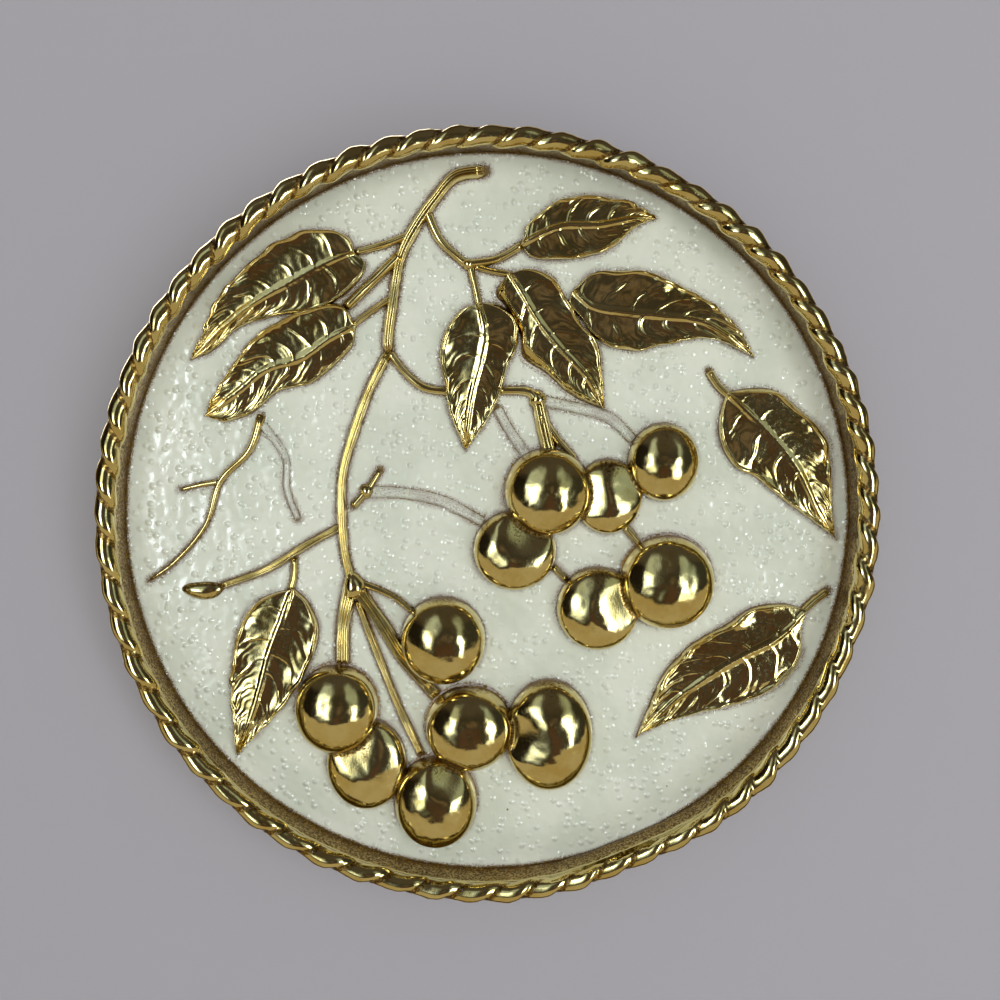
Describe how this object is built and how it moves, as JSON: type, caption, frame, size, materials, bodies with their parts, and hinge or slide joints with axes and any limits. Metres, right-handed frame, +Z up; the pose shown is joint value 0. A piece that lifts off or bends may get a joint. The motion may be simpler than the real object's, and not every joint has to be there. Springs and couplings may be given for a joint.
{
  "type": "decorative wall plaque",
  "caption": "Round cast wall plaque with gilt cherry branches in relief on a pebbled cream ground, inside a raised twisted-rope rim, hung from a ledge on its hollow back.",
  "frame": {"origin": "point under the cast hanging ledge where the nail bears, in the plane of the wall", "axes": "+Z up as it hangs, +X to the right seen from the front, +Y into the wall, so the relief faces -Y"},
  "size_m": [0.2332, 0.024, 0.2331],
  "materials": {
    "gilt_metal": "cast brass, polished bright on the rope rim, leaves, stems and cherries, and left as cast behind",
    "cream_paint": "cream gloss paint sprayed over the pebbled ground between the raised gilt forms"
  },
  "bodies": {
    "root": {"plaque": "gilt_metal"}
  },
  "joints": []
}
